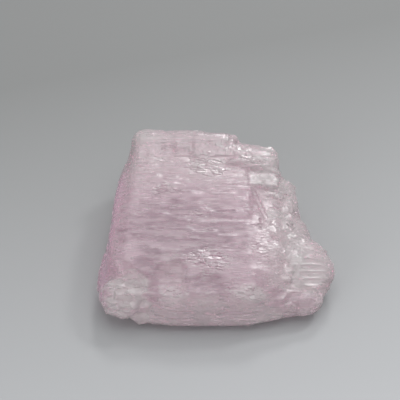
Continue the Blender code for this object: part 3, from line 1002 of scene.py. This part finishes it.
def streak_group():
    """Noise drawn out along the grain, cut to separate streaks between two limits."""
    group = bpy.data.node_groups.new("grain_streaks", "ShaderNodeTree")
    for name in ("Length", "Width", "Low", "High"):
        group.interface.new_socket(name, in_out="INPUT", socket_type="NodeSocketFloat")
    group.interface.new_socket("Streaks", in_out="OUTPUT", socket_type="NodeSocketFloat")
    given = group.nodes.new("NodeGroupInput")
    result = group.nodes.new("NodeGroupOutput")
    place = group.nodes.new("ShaderNodeTexCoord")
    size = group.nodes.new("ShaderNodeCombineXYZ")
    for axis, name in enumerate(("Length", "Width", "Width")):
        group.links.new(maths(group, "MULTIPLY", given.outputs[name], MM), size.inputs[axis])
    scaled = group.nodes.new("ShaderNodeVectorMath")
    scaled.operation = "DIVIDE"
    group.links.new(place.outputs["Object"], scaled.inputs[0])
    group.links.new(size.outputs[0], scaled.inputs[1])
    noise = node_of(group, "ShaderNodeTexNoise", Scale=1.0, Detail=2.0, Roughness=0.6)
    group.links.new(scaled.outputs[0], noise.inputs["Vector"])
    cut = group.nodes.new("ShaderNodeMapRange")
    cut.interpolation_type = "SMOOTHSTEP"
    group.links.new(noise.outputs["Fac"], cut.inputs["Value"])
    group.links.new(given.outputs["Low"], cut.inputs["From Min"])
    group.links.new(given.outputs["High"], cut.inputs["From Max"])
    group.links.new(cut.outputs["Result"], result.inputs["Streaks"])
    return group


def streaks(tree, group, sizes):
    """The socket of one kind of streaks, from its length, width and two limits."""
    node = tree.nodes.new("ShaderNodeGroup")
    node.node_tree = group
    for name, value in zip(("Length", "Width", "Low", "High"), sizes):
        node.inputs[name].default_value = value
    return node.outputs["Streaks"]


def crystal_colour(tree, lines, veils, painted_glints):
    """Lilac, white and pink areas over the body colour, then veils, lines and painted glints. The
    white areas hold painted light too.
    """
    lilac = maths(tree, "SUBTRACT", 1.0, maths(tree, "MULTIPLY", veils, LILAC_LOST_IN_VEILS))
    lilac = maths(tree, "MULTIPLY", share_of(tree, "lilac"), lilac)
    # Painted glints: white specks in the broken patches that stand in for sparkle.
    painted_glint_share = maths(tree, "MULTIPLY", painted_glints, share_of(tree, "rough"))
    colour = BODY_COLOUR
    for share, strength, over in (
        (lilac, 1.0, LILAC_COLOUR),
        (share_of(tree, "white"), 1.0, WHITE_COLOUR),
        (share_of(tree, "pink"), 1.0, PINK_COLOUR),
        (veils, VEIL_STRENGTH, VEIL_COLOUR),
        (lines, LINE_STRENGTH, WHITE_COLOUR),
        (painted_glint_share, PAINTED_GLINT_STRENGTH, PAINTED_GLINT_COLOUR),
    ):
        colour = blend(tree, maths(tree, "MULTIPLY", share, strength), colour, over)
    return colour


def crystal_material():
    """Milky pale pink: see-through glass under a whitish, lined and broken surface."""
    material = bpy.data.materials.new("pale_pink_kunzite")
    material.use_nodes = True
    tree = material.node_tree
    surface = tree.nodes["Principled BSDF"]
    output = tree.nodes["Material Output"]
    group = streak_group()
    lines = streaks(tree, group, FINE_LINES)
    veils = streaks(tree, group, BROAD_VEILS)
    painted_glints = streaks(tree, group, PAINTED_GLINTS)
    tree.links.new(crystal_colour(tree, lines, veils, painted_glints), surface.inputs["Base Color"])

    dull = maths(tree, "ADD", maths(tree, "MULTIPLY", veils, VEIL_ROUGHNESS), ROUGHNESS)
    polish = maths(tree, "MULTIPLY", share_of(tree, "rough"), FACET_POLISH)
    tree.links.new(maths(tree, "SUBTRACT", dull, polish), surface.inputs["Roughness"])

    bump = node_of(tree, "ShaderNodeBump", Strength=BUMP_STRENGTH, Distance=BUMP_DISTANCE)
    height = maths(tree, "ADD", lines, maths(tree, "MULTIPLY", painted_glints, PAINTED_GLINT_BUMP))
    tree.links.new(height, bump.inputs["Height"])
    tree.links.new(bump.outputs["Normal"], surface.inputs["Normal"])

    surface.inputs["IOR"].default_value = REFRACTION
    surface.inputs["Transmission Weight"].default_value = CLEARNESS
    surface.inputs["Subsurface Weight"].default_value = MILKINESS
    surface.inputs["Subsurface Radius"].default_value = MILKY_SPREAD
    surface.inputs["Subsurface Scale"].default_value = MILKY_DEPTH
    depth = node_of(tree, "ShaderNodeVolumeAbsorption", Color=DEPTH_COLOUR, Density=DEPTH_DENSITY)
    tree.links.new(depth.outputs["Volume"], output.inputs["Volume"])
    return material


def sheet_material():
    """Pale grey sheet with painted light and shade: lighter towards the front and the right, darker
    towards the back.
    """
    material = bpy.data.materials.new("grey_sheet")
    material.use_nodes = True
    tree = material.node_tree
    surface = tree.nodes["Principled BSDF"]
    place = tree.nodes.new("ShaderNodeTexCoord")
    parts = tree.nodes.new("ShaderNodeSeparateXYZ")
    tree.links.new(place.outputs["Object"], parts.inputs[0])
    along = maths(tree, "MULTIPLY", parts.outputs["X"], SHEET_SLANT)
    shade = tree.nodes.new("ShaderNodeMapRange")
    tree.links.new(maths(tree, "SUBTRACT", parts.outputs["Y"], along), shade.inputs["Value"])
    shade.inputs["From Min"].default_value = SHEET_FRONT
    shade.inputs["From Max"].default_value = SHEET_BACK
    colour = blend(tree, shade.outputs["Result"], SHEET_PAINTED_LIGHT, SHEET_PAINTED_SHADE)
    tree.links.new(colour, surface.inputs["Base Color"])
    surface.inputs["Roughness"].default_value = SHEET_ROUGHNESS
    return material


def make_floor():
    """A wide flat sheet just under the crystal."""
    corners = ((-1, -1), (1, -1), (1, 1), (-1, 1))
    points = np.array([(x * SHEET_HALF, y * SHEET_HALF, SHEET_LEVEL) for x, y in corners])
    floor = mesh_object("floor", points, [(0, 1, 2, 3)])
    floor.data.materials.append(sheet_material())


def make_lights():
    """An even white room and the round lights, which all face the crystal."""
    world = bpy.data.worlds.new("soft_room")
    world.use_nodes = True
    background = world.node_tree.nodes["Background"]
    background.inputs["Color"].default_value = ROOM_LIGHT
    background.inputs["Strength"].default_value = ROOM_STRENGTH
    bpy.context.scene.world = world
    for name, place, size, power in LIGHTS:
        light = bpy.data.lights.new(name, "AREA")
        light.shape = "DISK"
        light.size = size
        light.energy = power
        lamp = bpy.data.objects.new(name, light)
        lamp.location = place
        facing = Vector(place) - Vector(LIGHT_AIM)
        lamp.rotation_euler = facing.to_track_quat("Z", "Y").to_euler()
        bpy.context.scene.collection.objects.link(lamp)
    bpy.context.scene.view_settings.view_transform = "Standard"


def make_camera():
    """The photograph's view: from the front, looking down by the view's angle."""
    back = Vector((0.0, -math.cos(VIEW_HEIGHT_ANGLE), math.sin(VIEW_HEIGHT_ANGLE)))
    lens = bpy.data.cameras.new("view")
    lens.sensor_width = SENSOR_WIDTH
    lens.lens = SENSOR_WIDTH * VIEW_DISTANCE / VIEW_WIDTH
    lens.clip_start = 1.0 * MM
    camera = bpy.data.objects.new("view", lens)
    camera.location = Vector(VIEW_AIM) + back * VIEW_DISTANCE
    camera.rotation_euler = back.to_track_quat("Z", "Y").to_euler()
    bpy.context.scene.collection.objects.link(camera)
    bpy.context.scene.camera = camera


def make_crystal():
    """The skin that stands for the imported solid, with its material."""
    skin = crystal_skin(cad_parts["kunzite_crystal"])
    skin.data.materials.append(crystal_material())
    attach(skin, "root")
    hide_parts("kunzite_crystal")


make_camera()
make_lights()
make_floor()
make_crystal()
